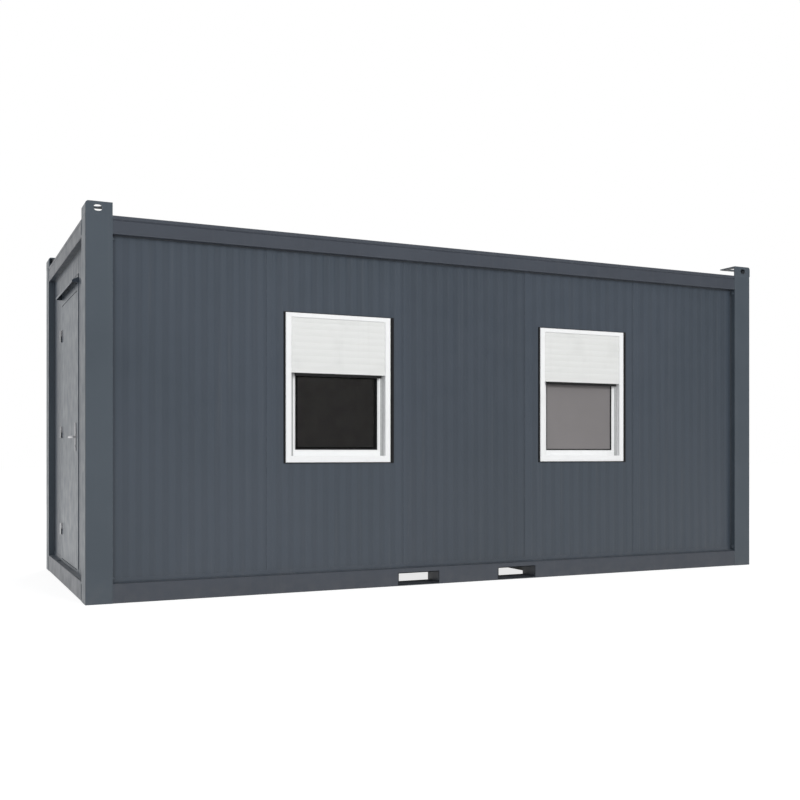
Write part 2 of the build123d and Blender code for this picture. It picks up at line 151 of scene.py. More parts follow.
floor_mesh = bpy.data.meshes.new("studio_floor")
floor_corners = np.array([(-1, -1, 0), (1, -1, 0), (1, 1, 0), (-1, 1, 0)]) * FLOOR_HALF
floor_mesh.from_pydata(floor_corners.tolist(), [], [(0, 1, 2, 3)])
floor = bpy.data.objects.new("studio_floor", floor_mesh)
bpy.context.scene.collection.objects.link(floor)
floor_material = bpy.data.materials.new("pale_floor")
floor_material.use_nodes = True
tree = floor_material.node_tree
tree.nodes.clear()
matt = add_node(tree, "ShaderNodeBsdfDiffuse", {"Color": FLOOR_SEEN})
glow = add_node(tree, "ShaderNodeEmission", {"Color": WHITE, "Strength": FLOOR_GLOW})
both = add_node(tree, "ShaderNodeAddShader", {0: matt.outputs[0], 1: glow.outputs[0]})
plain = add_node(tree, "ShaderNodeBsdfDiffuse", {"Color": FLOOR_PLAIN})
ray = add_node(tree, "ShaderNodeLightPath").outputs
seen = combined(tree, "MAXIMUM", ray["Is Camera Ray"], ray["Is Transmission Ray"])
seen = combined(tree, "MAXIMUM", seen, ray["Is Glossy Ray"])
shown = add_node(tree, "ShaderNodeMixShader", {0: seen, 1: plain.outputs[0], 2: both.outputs[0]})
add_node(tree, "ShaderNodeOutputMaterial", {"Surface": shown.outputs[0]})
floor_mesh.materials.append(floor_material)

# --------------------------------------------------------------
# Corner posts: cold-rolled steel angles, welded closed and sprayed slate grey. The film has a
# fine orange peel, slow changes of tone, road dust near the ground and wear along the edges.

FRAME_GREY = (0.0625, 0.079, 0.0975, 1.0)
FRAME_GREY_SHADE = (0.056, 0.0715, 0.089, 1.0)
STEEL_BARE = (0.20, 0.215, 0.235, 1.0)
ROAD_DUST = (0.24, 0.23, 0.215, 1.0)


def new_group(name, inputs, outputs):
    """An empty node group with named inputs (kind, value) and outputs (kind). The sockets that
    bring its inputs in and take its outputs come back with it."""
    group = bpy.data.node_groups.new(name, "ShaderNodeTree")
    for key, (kind, value) in inputs.items():
        socket = group.interface.new_socket(key, in_out="INPUT", socket_type="NodeSocket" + kind)
        socket.default_value = value
    for key, kind in outputs.items():
        group.interface.new_socket(key, in_out="OUTPUT", socket_type="NodeSocket" + kind)
    return group, group.nodes.new("NodeGroupInput").outputs, group.nodes.new("NodeGroupOutput").inputs


def place_points(tree, scale=(1.0, 1.0, 1.0)):
    """The Object coordinates of a surface, stretched by a scale on each axis."""
    coordinates = add_node(tree, "ShaderNodeTexCoord").outputs["Object"]
    return add_node(tree, "ShaderNodeMapping", {"Vector": coordinates, "Scale": scale}).outputs[0]


def noise(tree, points, scale, detail):
    """Cloudy noise over the points, from 0 to 1."""
    return add_node(tree, "ShaderNodeTexNoise", {"Vector": points, "Scale": scale, "Detail": detail}).outputs[0]


def mixed(tree, share, first, second):
    """One colour blended into another by a share."""
    return add_node(tree, "ShaderNodeMix", {0: share, 6: first, 7: second}, data_type="RGBA").outputs[2]


# Paint film: tone = slow noise between two colours; gloss = medium noise; peel = fine noise
paint_film, entry, result = new_group(
    "paint_film",
    {
        "Coat": ("Color", FRAME_GREY),
        "Shade": ("Color", FRAME_GREY_SHADE),
        "Patch Scale": ("Float", 1.3),
        "Peel Scale": ("Float", 420.0),
        "Smooth": ("Float", 0.34),
        "Rough": ("Float", 0.46),
    },
    {"Color": "Color", "Roughness": "Float", "Height": "Float"},
)
points = place_points(paint_film)
patches = spread(paint_film, noise(paint_film, points, entry["Patch Scale"], 4.0), 0.35, 0.65)
handled = noise(paint_film, points, 9.0, 6.0)
gloss = spread(paint_film, handled, 0.3, 0.7, entry["Smooth"], entry["Rough"], "LINEAR")
paint_film.links.new(mixed(paint_film, patches, entry["Coat"], entry["Shade"]), result["Color"])
paint_film.links.new(gloss, result["Roughness"])
paint_film.links.new(noise(paint_film, points, entry["Peel Scale"], 2.0), result["Height"])

# Weathering: dust = near the ground and on upward faces, streaks = noise drawn out downwards
weathering, entry, result = new_group(
    "weathering",
    {
        "Color": ("Color", FRAME_GREY),
        "Roughness": ("Float", 0.4),
        "Dust": ("Color", ROAD_DUST),
        "Splash Height": ("Float", 0.32),
        "Dust Amount": ("Float", 0.25),
        "Streak Amount": ("Float", 0.10),
    },
    {"Color": "Color", "Roughness": "Float"},
)
points = place_points(weathering)
low_down = spread(weathering, axis_of(weathering, points, "Z"), 0.0, entry["Splash Height"], 1.0, 0.0, "LINEAR")
splash = combined(weathering, "MULTIPLY", low_down, low_down)
facing = add_node(weathering, "ShaderNodeNewGeometry").outputs["Normal"]
ledge = spread(weathering, axis_of(weathering, facing, "Z"), 0.6, 0.95)
speckle = spread(weathering, noise(weathering, points, 14.0, 8.0), 0.35, 0.7, 0.25, 1.0)
dust = combined(weathering, "MULTIPLY", combined(weathering, "MAXIMUM", splash, ledge), speckle)
dust = combined(weathering, "MULTIPLY", dust, entry["Dust Amount"])
runs = spread(weathering, noise(weathering, place_points(weathering, (34.0, 34.0, 0.8)), 1.0, 5.0), 0.55, 0.8)
streaks = combined(weathering, "MULTIPLY", runs, entry["Streak Amount"])
share = combined(weathering, "ADD", dust, streaks, clamp=True)
weathering.links.new(mixed(weathering, share, entry["Color"], entry["Dust"]), result["Color"])
weathering.links.new(between(weathering, share, entry["Roughness"], 0.85), result["Roughness"])

# Edge wear: how far a rounded normal leaves the true one, broken up by noise
edge_wear, entry, result = new_group(
    "edge_wear", {"Radius": ("Float", 0.006), "Amount": ("Float", 0.5)}, {"Mask": "Float"}
)
rounded = add_node(edge_wear, "ShaderNodeBevel", {"Radius": entry["Radius"]}, samples=4).outputs[0]
sharp = add_node(edge_wear, "ShaderNodeNewGeometry").outputs["Normal"]
agreement = add_node(edge_wear, "ShaderNodeVectorMath", {0: rounded, 1: sharp}, operation="DOT_PRODUCT")
rubbed = spread(edge_wear, agreement.outputs["Value"], 0.985, 0.86)
grit = spread(edge_wear, noise(edge_wear, place_points(edge_wear), 38.0, 8.0), 0.48, 0.66)
worn = combined(edge_wear, "MULTIPLY", rubbed, grit)
edge_wear.links.new(combined(edge_wear, "MULTIPLY", worn, entry["Amount"]), result["Mask"])


def new_material(name, roughness=0.5, metallic=0.0):
    """A material with its shader ready: the tree and the Principled shader come back with it."""
    material = bpy.data.materials.new(name)
    material.use_nodes = True
    shader = material.node_tree.nodes["Principled BSDF"]
    shader.inputs["Roughness"].default_value = roughness
    shader.inputs["Metallic"].default_value = metallic
    return material, material.node_tree, shader


def coat(tree, shader, colour, roughness):
    """Joins a colour and a roughness, as they change over the surface, to the shader."""
    tree.links.new(colour, shader.inputs["Base Color"])
    tree.links.new(roughness, shader.inputs["Roughness"])


def bump(tree, shader, height, strength, distance):
    """A height that tilts the shader's normal by a strength and a depth in metres."""
    made = add_node(tree, "ShaderNodeBump", {"Height": height, "Strength": strength, "Distance": distance})
    tree.links.new(made.outputs[0], shader.inputs["Normal"])


def painted_steel(name, grey, shade, patch_scale=1.3, dust=0.10, streaks=0.05, wear=0.35, smooth=0.34, rough=0.46):
    """Sprayed or coil-coated steel: film, then weathering over it, then bare edges."""
    material, tree, shader = new_material(name)
    looks = {"Coat": grey, "Shade": shade, "Patch Scale": patch_scale, "Smooth": smooth, "Rough": rough}
    film = add_node(tree, "ShaderNodeGroup", looks, node_tree=paint_film).outputs
    looks = {"Color": film["Color"], "Roughness": film["Roughness"], "Dust Amount": dust, "Streak Amount": streaks}
    aged = add_node(tree, "ShaderNodeGroup", looks, node_tree=weathering).outputs
    worn = add_node(tree, "ShaderNodeGroup", {"Amount": wear}, node_tree=edge_wear).outputs["Mask"]
    coat(tree, shader, mixed(tree, worn, aged["Color"], STEEL_BARE), aged["Roughness"])
    bump(tree, shader, film["Height"], 0.25, 0.0004)
    return material, tree, shader


def dress(names, material):
    """Gives CAD nodes a finish in place of the plain one they are loaded with."""
    for name in names:
        nodes[name].data.materials.clear()
        nodes[name].data.materials.append(material)


frame_paint = painted_steel("frame_paint_sprayed", FRAME_GREY, FRAME_GREY_SHADE)[0]
dress([name for name in nodes if name.startswith("post_")], frame_paint)


def skin(rings, closed_path=False):
    """Points and faces of closed rings joined one to the next: the quad (i, j) takes points j and
    j + 1 of rings i and i + 1, and the ends of an open run are closed with the ring itself."""
    rings = np.asarray(rings, float)
    count, around = rings.shape[:2]
    i = np.arange(count if closed_path else count - 1)[:, None]
    j = np.arange(around)[None, :]
    here, there = i * around, ((i + 1) % count) * around
    after = (j + 1) % around
    quads = np.stack(np.broadcast_arrays(here + j, here + after, there + after, there + j), axis=-1)
    faces = quads.reshape(-1, 4).tolist()
    if not closed_path:
        faces += [list(range(around)), list(range((count - 1) * around, count * around))]
    return rings.reshape(-1, 3), faces


def new_piece(name, shells, material, body="cabin", smooth=False):
    """One object from closed shells: each shell's faces are numbered on from the points before it."""
    starts = np.cumsum([0] + [len(points) for points, _ in shells])
    faces = [[start + k for k in face] for start, (_, some) in zip(starts, shells) for face in some]
    mesh = bpy.data.meshes.new(name)
    mesh.from_pydata(np.concatenate([points for points, _ in shells]).tolist(), [], faces)
    work = bmesh.new()
    work.from_mesh(mesh)
    bmesh.ops.recalc_face_normals(work, faces=work.faces)
    work.to_mesh(mesh)
    work.free()
    mesh.polygons.foreach_set("use_smooth", np.full(len(mesh.polygons), smooth))
    mesh.materials.append(material)
    piece = bpy.data.objects.new(name, mesh)
    bpy.context.scene.collection.objects.link(piece)
    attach(piece, body)
    return piece


def turned(profile, centre, axis, side, count=24):
    """A profile of (radius, height) turned about an axis: point k of a ring stands at the angle
    2 pi k / count, and the ends of the profile are closed."""
    profile = np.asarray(profile, float)
    angle = np.arange(count) * 2 * math.pi / count
    spokes = np.cos(angle)[:, None] * side + np.sin(angle)[:, None] * np.cross(axis, side)
    return skin(np.asarray(centre, float) + profile[:, None, :1] * spokes[None] + profile[:, None, 1:] * axis)


X, Y, Z = np.eye(3)
CORNERS = [(x_side, y_side) for x_side in (-1, 1) for y_side in (-1, 1)]
post_low, post_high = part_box("post_door_end_front")
HALF_LENGTH, HALF_WIDTH, POST_HEAD = -post_low.x, -post_low.y, post_high.z
POST_SIDE, POST_END = post_high.x - post_low.x, post_high.y - post_low.y

# Post bolts: M16 hexagon heads on washers in the inner return of each post, sprayed over
BOLT_HEAD, BOLT_RISE = 0.0125, 0.010
WASHER, WASHER_RISE = 0.016, 0.003
BOLT_INSET, BOLT_LEVELS = 0.026, (0.175, 2.548)

washer = [(WASHER * 0.55, 0.0), (WASHER, 0.0), (WASHER, WASHER_RISE), (WASHER * 0.55, WASHER_RISE)]
bolt_top = WASHER_RISE + BOLT_RISE
bolt = [(BOLT_HEAD * 0.6, WASHER_RISE * 0.5), (BOLT_HEAD, WASHER_RISE * 0.5), (BOLT_HEAD, bolt_top - 0.0015)]
bolt += [(BOLT_HEAD * 0.88, bolt_top), (BOLT_HEAD * 0.3, bolt_top)]
bolt_shells = []
for x_side, y_side in CORNERS:
    for level in BOLT_LEVELS:
        place = (x_side * (HALF_LENGTH - POST_SIDE), y_side * (HALF_WIDTH - BOLT_INSET), level)
        bolt_shells += [turned(washer, place, -x_side * X, Z, 20), turned(bolt, place, -x_side * X, Z, 6)]
new_piece("post_bolts", bolt_shells, frame_paint)

# --------------------------------------------------------------
# Floor rails: rolled channels between the post feet, sprayed like the posts, with two sleeved
# fork pockets in each long one. Every rail is welded to its posts with a small rippled bead.

RAIL_GREY = (0.050, 0.059, 0.076, 1.0)
RAIL_GREY_SHADE = (0.045, 0.053, 0.069, 1.0)
rail_paint = painted_steel("rail_paint_sprayed", RAIL_GREY, RAIL_GREY_SHADE)[0]
dress([name for name in nodes if name.startswith("floor_rail_")], rail_paint)

BEAD_RADIUS = 0.0045
BEAD_SINK, BEAD_STOP = 0.0012, 0.008
FOOT_STOP = 0.010
RAIL_HIGH, ROOF_RAIL_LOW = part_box("floor_rail_front")[1].z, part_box("roof_rail_front")[0].z


def weld(start, end, up, out, ripple=0.0065):
    """A weld bead: round rings along a line, whose radius swells as a rectified sine of the
    distance, so that each swelling is one drop of weld."""
    start, end = np.asarray(start, float), np.asarray(end, float)
    length = float(np.linalg.norm(end - start))
    along = np.linspace(0.0, 1.0, max(8, int(length / (ripple / 3.0))))
    radius = BEAD_RADIUS * (0.82 + 0.22 * np.abs(np.sin(math.pi * along * length / ripple)))
    radius[[0, -1]] *= 0.3
    angle = np.linspace(0.0, 2 * math.pi, 9)[:-1]
    spokes = np.cos(angle)[:, None] * up + np.sin(angle)[:, None] * out
    return skin(start + along[:, None, None] * (end - start) + radius[:, None, None] * spokes[None])


bead_shells = []
for x_side, y_side in CORNERS:
    long_joint = (x_side * (HALF_LENGTH - POST_SIDE), y_side * (HALF_WIDTH - BEAD_SINK))
    end_joint = (x_side * (HALF_LENGTH - BEAD_SINK), y_side * (HALF_WIDTH - POST_END))
    for low, high in ((FOOT_STOP, RAIL_HIGH - BEAD_STOP), (ROOF_RAIL_LOW + BEAD_STOP, POST_HEAD - BEAD_STOP)):
        bead_shells += [weld((x, y, low), (x, y, high), X, Y) for x, y in (long_joint, end_joint)]
new_piece("rail_welds", bead_shells, frame_paint, smooth=True)


def run_around(profile, low, high, across, up, through, shift=0.0):
    """A profile carried round a rectangle with mitred corners: at each corner a point is the corner
    plus u away from the rectangle on both of its sides, v through its plane, and the shift."""
    profile = np.asarray(profile, float)
    (x0, z0), (x1, z1) = low, high
    corners = np.array([(x0, z0, -1, -1), (x1, z0, 1, -1), (x1, z1, 1, 1), (x0, z1, -1, 1)], float)
    along = corners[:, None, 0] + corners[:, None, 2] * profile[None, :, 0]
    rise = corners[:, None, 1] + corners[:, None, 3] * profile[None, :, 0]
    depth = np.broadcast_to(profile[None, :, 1], along.shape)
    rings = along[..., None] * across + rise[..., None] * up + depth[..., None] * through
    return skin(rings + shift, closed_path=True)


# Pocket collars: a welded rim of flat bar round each fork pocket, inside the rail's face
POCKET_LOW, POCKET_HIGH, POCKET_HALF, POCKET_X = 0.014, 0.100, 0.1775, 0.4575
rim = [(-0.0005, 0.0), (-0.0005, 0.0035), (0.0025, 0.005), (0.0055, 0.0035), (0.0055, 0.0)]
collar_shells = []
for middle in (-POCKET_X, POCKET_X):
    for y_side in (-1, 1):
        low, high = (middle - POCKET_HALF, POCKET_LOW), (middle + POCKET_HALF, POCKET_HIGH)
        collar_shells.append(run_around(rim, low, high, X, Z, -y_side * Y, y_side * HALF_WIDTH * Y))
new_piece("pocket_collars", collar_shells, frame_paint)

# --------------------------------------------------------------
# Roof rails: rolled channels with one stiffening bead, sprayed with the posts, and the plate
# fittings on the post heads that hooks and stacked cabins use, welded all round at the foot.

dress([name for name in nodes if name.startswith("roof_rail_")], rail_paint)
dress(["top_corner_fittings"], frame_paint)

FITTING_INSET, FITTING_BEAD_STOP = 0.0035, 0.012
fitting_shells = []
for x_side, y_side in CORNERS:
    x_out, y_out = x_side * (HALF_LENGTH - FITTING_INSET), y_side * (HALF_WIDTH - FITTING_INSET)
    x_in, y_in = x_side * (HALF_LENGTH - POST_SIDE), y_side * (HALF_WIDTH - POST_END)
    x_stop, y_stop = x_side * (HALF_LENGTH - FITTING_BEAD_STOP), y_side * (HALF_WIDTH - FITTING_BEAD_STOP)
    fitting_shells.append(weld((x_in, y_out, POST_HEAD), (x_stop, y_out, POST_HEAD), Z, Y))
    fitting_shells.append(weld((x_out, y_in, POST_HEAD), (x_out, y_stop, POST_HEAD), Z, X))
new_piece("fitting_welds", fitting_shells, frame_paint, smooth=True)

# --------------------------------------------------------------
# Under the floor: pressed joists and the tray of the insulated floor, brushed with dull primer.
# Road dirt lies thick on both.

PRIMER = (0.055, 0.062, 0.068, 1.0)
PRIMER_SHADE = (0.075, 0.080, 0.082, 1.0)
primer = painted_steel("underfloor_primer", PRIMER, PRIMER_SHADE, 4.0, 0.5, 0.0, 0.6, 0.55, 0.75)[0]
dress(["floor_joists", "floor_pan"], primer)

# --------------------------------------------------------------
# Floor deck: grey sheet vinyl with fine chips, glued on boards, and scuffed dark where people
# walk.

VINYL_GREY, VINYL_CHIP, VINYL_SCUFF = (0.19, 0.20, 0.21, 1.0), (0.27, 0.28, 0.29, 1.0), (0.14, 0.14, 0.14, 1.0)
vinyl, tree, shader = new_material("sheet_vinyl", 0.55)
points = place_points(tree)
chips = axis_of(tree, add_node(tree, "ShaderNodeTexVoronoi", {"Vector": points, "Scale": 260.0}).outputs["Color"], "X")
chipped = mixed(tree, spread(tree, chips, 0.55, 0.9), VINYL_GREY, VINYL_CHIP)
scuffs = noise(tree, points, 3.0, 8.0)
scuffed = mixed(tree, spread(tree, scuffs, 0.55, 0.75, 0.0, 0.4), chipped, VINYL_SCUFF)
coat(tree, shader, scuffed, spread(tree, scuffs, 0.4, 0.7, 0.42, 0.62))
bump(tree, shader, chips, 0.15, 0.0003)
dress(["floor_deck"], vinyl)

# --------------------------------------------------------------
# Ceiling: white lining board, with a cove and skirtings of the same finish round the room,
# pinned to the panels.


def two_tones(tree, shader, value, first, second, smooth, rough):
    """Colour and roughness that both follow a noise: its middle range, 0.3 to 0.7, is eased from
    the first colour to the second and from smooth to rough."""
    colour = mixed(tree, spread(tree, value, 0.3, 0.7), first, second)
    coat(tree, shader, colour, spread(tree, value, 0.3, 0.7, smooth, rough))


LINING_WHITE, LINING_MOTTLE = (0.78, 0.78, 0.76, 1.0), (0.72, 0.72, 0.70, 1.0)
lining, tree, shader = new_material("white_lining_board", 0.55)
mottle = noise(tree, place_points(tree), 60.0, 6.0)
two_tones(tree, shader, mottle, LINING_WHITE, LINING_MOTTLE, 0.48, 0.6)
bump(tree, shader, mottle, 0.2, 0.0005)
dress(["ceiling_panel"], lining)

# A laid-on piece is set off from the true face by a hair, so that no two faces lie in one plane
HAIR = 0.0002
room_low, room_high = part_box("ceiling_panel")
cove = [(0.0, 0.0), (-0.026, 0.0), (-0.024, -0.005), (-0.009, -0.009), (-0.005, -0.024), (0.0, -0.026)]
plan_low, plan_high = (room_low.x, room_low.y), (room_high.x, room_high.y)
cove_run = run_around(cove, plan_low, plan_high, X, Y, Z, (room_low.z - HAIR) * Z)
new_piece("ceiling_cove", [cove_run], lining)


def run_along(profile, start, end, first, second):
    """A profile carried straight from start to end: each point is the end's place plus u along the
    first direction and v along the second."""
    profile = np.asarray(profile, float)
    offsets = profile[:, :1] * first + profile[:, 1:] * second
    return skin(np.asarray([start, end], float)[:, None, :] + offsets[None])


DECK_TOP, DOOR_FRAME_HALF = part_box("floor_deck")[1].z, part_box("door_frame")[1].y
SKIRTING_DEPTH, DOOR_TRIM = 0.012, 0.031
skirting = [(0.0, 0.0), (SKIRTING_DEPTH, 0.0), (SKIRTING_DEPTH, 0.050), (0.008, 0.058), (0.0, 0.060)]
skirting_shells = []
for y_side in (-1, 1):
    y_wall, y_corner = y_side * (room_high.y - HAIR), y_side * (room_high.y - SKIRTING_DEPTH)
    start, end = (room_low.x, y_wall, DECK_TOP), (room_high.x, y_wall, DECK_TOP)
    skirting_shells.append(run_along(skirting, start, end, -y_side * Y, Z))
    for x_wall, y_near in ((room_high.x, 0.0), (room_low.x, y_side * (DOOR_FRAME_HALF + DOOR_TRIM))):
        inward = -math.copysign(1.0, x_wall) * X
        skirting_shells.append(run_along(skirting, (x_wall, y_near, DECK_TOP), (x_wall, y_corner, DECK_TOP), inward, Z))
new_piece("skirtings", skirting_shells, lining)

# --------------------------------------------------------------
# Roof: galvanised trapezoidal sheet between the roof rails, bright spangle gone dull, with a
# folded closure strip along each edge and a row of sealed screws on the ribs.

SPANGLE_DARK, SPANGLE_BRIGHT, ROOF_STAIN = (0.40, 0.42, 0.43, 1.0), (0.50, 0.52, 0.53, 1.0), (0.33, 0.33, 0.31, 1.0)
galvanised, tree, shader = new_material("galvanised_sheet", 0.45, 0.85)
points = place_points(tree)
spangle = axis_of(tree, add_node(tree, "ShaderNodeTexVoronoi", {"Vector": points, "Scale": 46.0}).outputs["Color"], "X")
stain = noise(tree, points, 2.2, 7.0)
bright = mixed(tree, spangle, SPANGLE_DARK, SPANGLE_BRIGHT)
stained = mixed(tree, spread(tree, stain, 0.45, 0.75, 0.0, 0.6), bright, ROOF_STAIN)
coat(tree, shader, stained, spread(tree, stain, 0.35, 0.7, 0.38, 0.62))
dress(["roof_sheet"], galvanised)

roof_low, roof_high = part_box("roof_sheet")
RIB_HEIGHT, CLOSURE_WIDTH = 0.020, 0.045
closure = [(0.0, 0.0), (CLOSURE_WIDTH - 0.002, 0.0), (CLOSURE_WIDTH - 0.002, -RIB_HEIGHT)]
closure += [(CLOSURE_WIDTH, -RIB_HEIGHT), (CLOSURE_WIDTH, 0.002), (0.002, 0.002), (0.002, 0.014), (0.0, 0.014)]
upstand = [(0.0, -0.001), (0.050, -0.001), (0.050, 0.001), (0.002, 0.001), (0.002, 0.030), (0.0, 0.030)]
x_end, y_end, z_flat = roof_high.x - 0.001, roof_high.y - CLOSURE_WIDTH - 0.001, roof_high.z - RIB_HEIGHT
closure_shells = []
for y_side in (-1, 1):
    y_edge, z_edge = y_side * (roof_high.y - HAIR), roof_high.z + HAIR
    closure_shells.append(run_along(closure, (-x_end, y_edge, z_edge), (x_end, y_edge, z_edge), -y_side * Y, Z))
for x_side in (-1, 1):
    x_edge = x_side * (roof_high.x - HAIR)
    closure_shells.append(run_along(upstand, (x_edge, -y_end, z_flat), (x_edge, y_end, z_flat), -x_side * X, Z))
new_piece("roof_closures", closure_shells, galvanised)


def repeated(shell, places):
    """A shell copied to many places: the points are added to each place and the faces numbered on."""
    points, faces = shell
    places = np.asarray(places, float)
    copies = (places[:, None, :] + points[None]).reshape(-1, 3)
    return copies, [[start + k for k in face] for start in np.arange(len(places)) * len(points) for face in faces]


# Roof screws: zinc-plated hexagon heads, each on a sealing washer
zinc, tree, shader = new_material("zinc_plated", 0.38, 1.0)
cast = noise(tree, place_points(tree), 160.0, 5.0)
two_tones(tree, shader, cast, (0.52, 0.53, 0.54, 1.0), (0.40, 0.41, 0.41, 1.0), 0.32, 0.5)

RIB_COUNT, SCREW_ROWS, SCREW_EDGE = 23, 5, 0.030
rib_cell = (roof_high.x - roof_low.x) / RIB_COUNT
rib_places = roof_low.x + (np.arange(RIB_COUNT) + 0.5) * rib_cell
row_places = np.linspace(roof_low.y + SCREW_EDGE, roof_high.y - SCREW_EDGE, SCREW_ROWS)
grid = np.meshgrid(rib_places, row_places, [roof_high.z + 0.002], indexing="ij")
screw_grid = np.stack(grid, axis=-1).reshape(-1, 3)
pad = [(0.002, 0.0), (0.008, 0.0), (0.007, 0.002), (0.002, 0.002)]
head = [(0.002, 0.0015), (0.0045, 0.0015), (0.0045, 0.006), (0.0036, 0.007), (0.001, 0.007)]
screw_shells = [repeated(turned(pad, (0, 0, 0), Z, X, 10), screw_grid)]
screw_shells.append(repeated(turned(head, (0, 0, 0), Z, X, 6), screw_grid))
new_piece("roof_screws", screw_shells, zinc)

# --------------------------------------------------------------
# Wall panels: coil-coated steel sandwich panels, finely ribbed outside and white inside, that
# slot into the frame. Their tone drifts a little from one panel to the next.

PANEL_GREY = (0.0513, 0.065, 0.0855, 1.0)
PANEL_GREY_SHADE = (0.0465, 0.060, 0.0785, 1.0)
BATCH_TONES = (1.0, 0.99, 0.92, 0.99, 1.0)
# Ribs: crests are painted lighter and valleys painted darker, as painted light and shade
CREST_PAINTED_LIGHT, VALLEY_PAINTED_SHADE = 1.045, 0.962
WALL_FACE, RIB_DEPTH, LINING_FILM = 0.050, 0.002, 0.0003
CREST_X, CREST_Y = HALF_LENGTH - WALL_FACE, HALF_WIDTH - WALL_FACE
VALLEY_X, VALLEY_Y = CREST_X - RIB_DEPTH, CREST_Y - RIB_DEPTH
first_low, first_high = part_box("front_panel_1")
SEAM_PITCH, WALL_BASE, WALL_TOP = first_high.x - first_low.x, first_low.z, first_high.z
WALL_HALF = -first_low.x

panel_paint, tree, shader = painted_steel(
    "panel_paint_coil_coated", PANEL_GREY, PANEL_GREY_SHADE, 0.7, 0.16, 0.05, 0.12, 0.30, 0.40
)
points = place_points(tree)
far_x = combined(tree, "ABSOLUTE", axis_of(tree, points, "X"))
far_y = combined(tree, "ABSOLUTE", axis_of(tree, points, "Y"))
within_x = combined(tree, "LESS_THAN", far_x, room_high.x + LINING_FILM)
within_y = combined(tree, "LESS_THAN", far_y, room_high.y + LINING_FILM)
inside = combined(tree, "MULTIPLY", within_x, within_y)
# Rib crests made lighter and valleys darker: painted light and shade of the ribs, on top of what the lamps give
crest_x = spread(tree, far_x, VALLEY_X + HAIR, CREST_X - HAIR)
crest_y = spread(tree, far_y, VALLEY_Y + HAIR, CREST_Y - HAIR)
rib_light_and_shade = spread(tree, combined(tree, "MAXIMUM", crest_x, crest_y), 0.0, 1.0, VALLEY_PAINTED_SHADE, CREST_PAINTED_LIGHT)
batches = add_node(tree, "ShaderNodeValToRGB")
batches.color_ramp.interpolation = "CONSTANT"
stops = batches.color_ramp.elements
for number, batch_tone in enumerate(BATCH_TONES):
    stop = stops[number] if number < 2 else stops.new(number / len(BATCH_TONES))
    stop.position = number / len(BATCH_TONES)
    stop.color = (batch_tone, batch_tone, batch_tone, 1.0)
across_wall = spread(tree, axis_of(tree, points, "X"), -WALL_HALF, WALL_HALF, ease="LINEAR")
tree.links.new(across_wall, batches.inputs[0])
tone = combined(tree, "MULTIPLY", rib_light_and_shade, batches.outputs[0])
outer_colour = shader.inputs["Base Color"].links[0].from_socket
toned = add_node(tree, "ShaderNodeVectorMath", {0: outer_colour, "Scale": tone}, operation="SCALE").outputs[0]
tree.links.new(mixed(tree, inside, toned, LINING_WHITE), shader.inputs["Base Color"])
dress([name for name in nodes if "panel" in name and name != "ceiling_panel"], panel_paint)

# Joint covers: a thin folded strip pushed over each upright joint, down to the base flashing
COVER_LOW, COVER_HIGH, COVER_FOOT, COVER_SINK = -0.004, 0.044, 0.036, 0.0006
cover = [(COVER_LOW, 0.0), (COVER_LOW + 0.003, 0.0022), (COVER_HIGH - 0.003, 0.0022), (COVER_HIGH, 0.0)]
cover_foot = WALL_BASE + COVER_FOOT
cover_shells = []
for number in range(1, len(BATCH_TONES)):
    seam = -WALL_HALF + number * SEAM_PITCH
    for y_side in (-1, 1):
        x_seam, y_face = -y_side * seam, y_side * (CREST_Y - COVER_SINK)
        start, end = (x_seam, y_face, cover_foot), (x_seam, y_face, WALL_TOP)
        cover_shells.append(run_along(cover, start, end, -y_side * X, y_side * Y))
x_face = CREST_X - COVER_SINK
cover_shells.append(run_along(cover, (x_face, 0.0, cover_foot), (x_face, 0.0, WALL_TOP), Y, X))
new_piece("joint_covers", cover_shells, panel_paint)

x_post, y_post = HALF_LENGTH - POST_SIDE, HALF_WIDTH - POST_END


def wall_runs(proud, level):
    """Start, end and outward direction of each length of wall between posts or beside the door, at
    a level and so far proud of the ribs."""
    x_face, y_face = CREST_X + proud, CREST_Y + proud
    runs = [((-x_post, -y_face, level), (x_post, -y_face, level), -Y)]
    runs.append(((-x_post, y_face, level), (x_post, y_face, level), Y))
    runs.append(((x_face, -y_post, level), (x_face, y_post, level), X))
    for y_near, y_far in ((-y_post, -DOOR_FRAME_HALF), (DOOR_FRAME_HALF, y_post)):
        runs.append(((-x_face, y_near, level), (-x_face, y_far, level), -X))
    return runs


# Base flashings: a folded strip that sheds water from the panels over the floor rail
FLASHING_RISE = 0.0052
flashing = [(0.0, 0.0), (0.036, -0.004), (0.036, -0.0025), (0.0016, 0.0016), (0.0016, 0.030), (0.0, 0.030)]
base_z = RAIL_HIGH + FLASHING_RISE
flashing_shells = [run_along(flashing, start, end, out, Z) for start, end, out in wall_runs(HAIR, base_z)]
new_piece("base_flashings", flashing_shells, panel_paint)

# Blind rivets along the flashings: domed heads of the panels' colour
RIVET_PITCH, RIVET_RISE, RIVET_RADIUS = 0.380, 0.018, 0.0038


def rivets(start, end, out, count=None):
    """Shells of domed heads on a line: the rings of each head follow a quarter ellipse."""
    start, end = np.asarray(start, float), np.asarray(end, float)
    count = count or max(2, round(float(np.linalg.norm(end - start)) / RIVET_PITCH))
    rise = np.linspace(0.0, 0.92, 4)
    dome = [(RIVET_RADIUS, -0.0005)] + [(RIVET_RADIUS * math.sqrt(1 - r * r), 0.0018 * r) for r in rise]
    shares = (np.arange(count) + 0.5) / count
    return repeated(turned(dome, (0.0, 0.0, 0.0), out, Z, 10), start + shares[:, None] * (end - start))


rivet_shells = [rivets(start, end, out) for start, end, out in wall_runs(0.0018, base_z + RIVET_RISE)]
new_piece("flashing_rivets", rivet_shells, panel_paint, smooth=True)

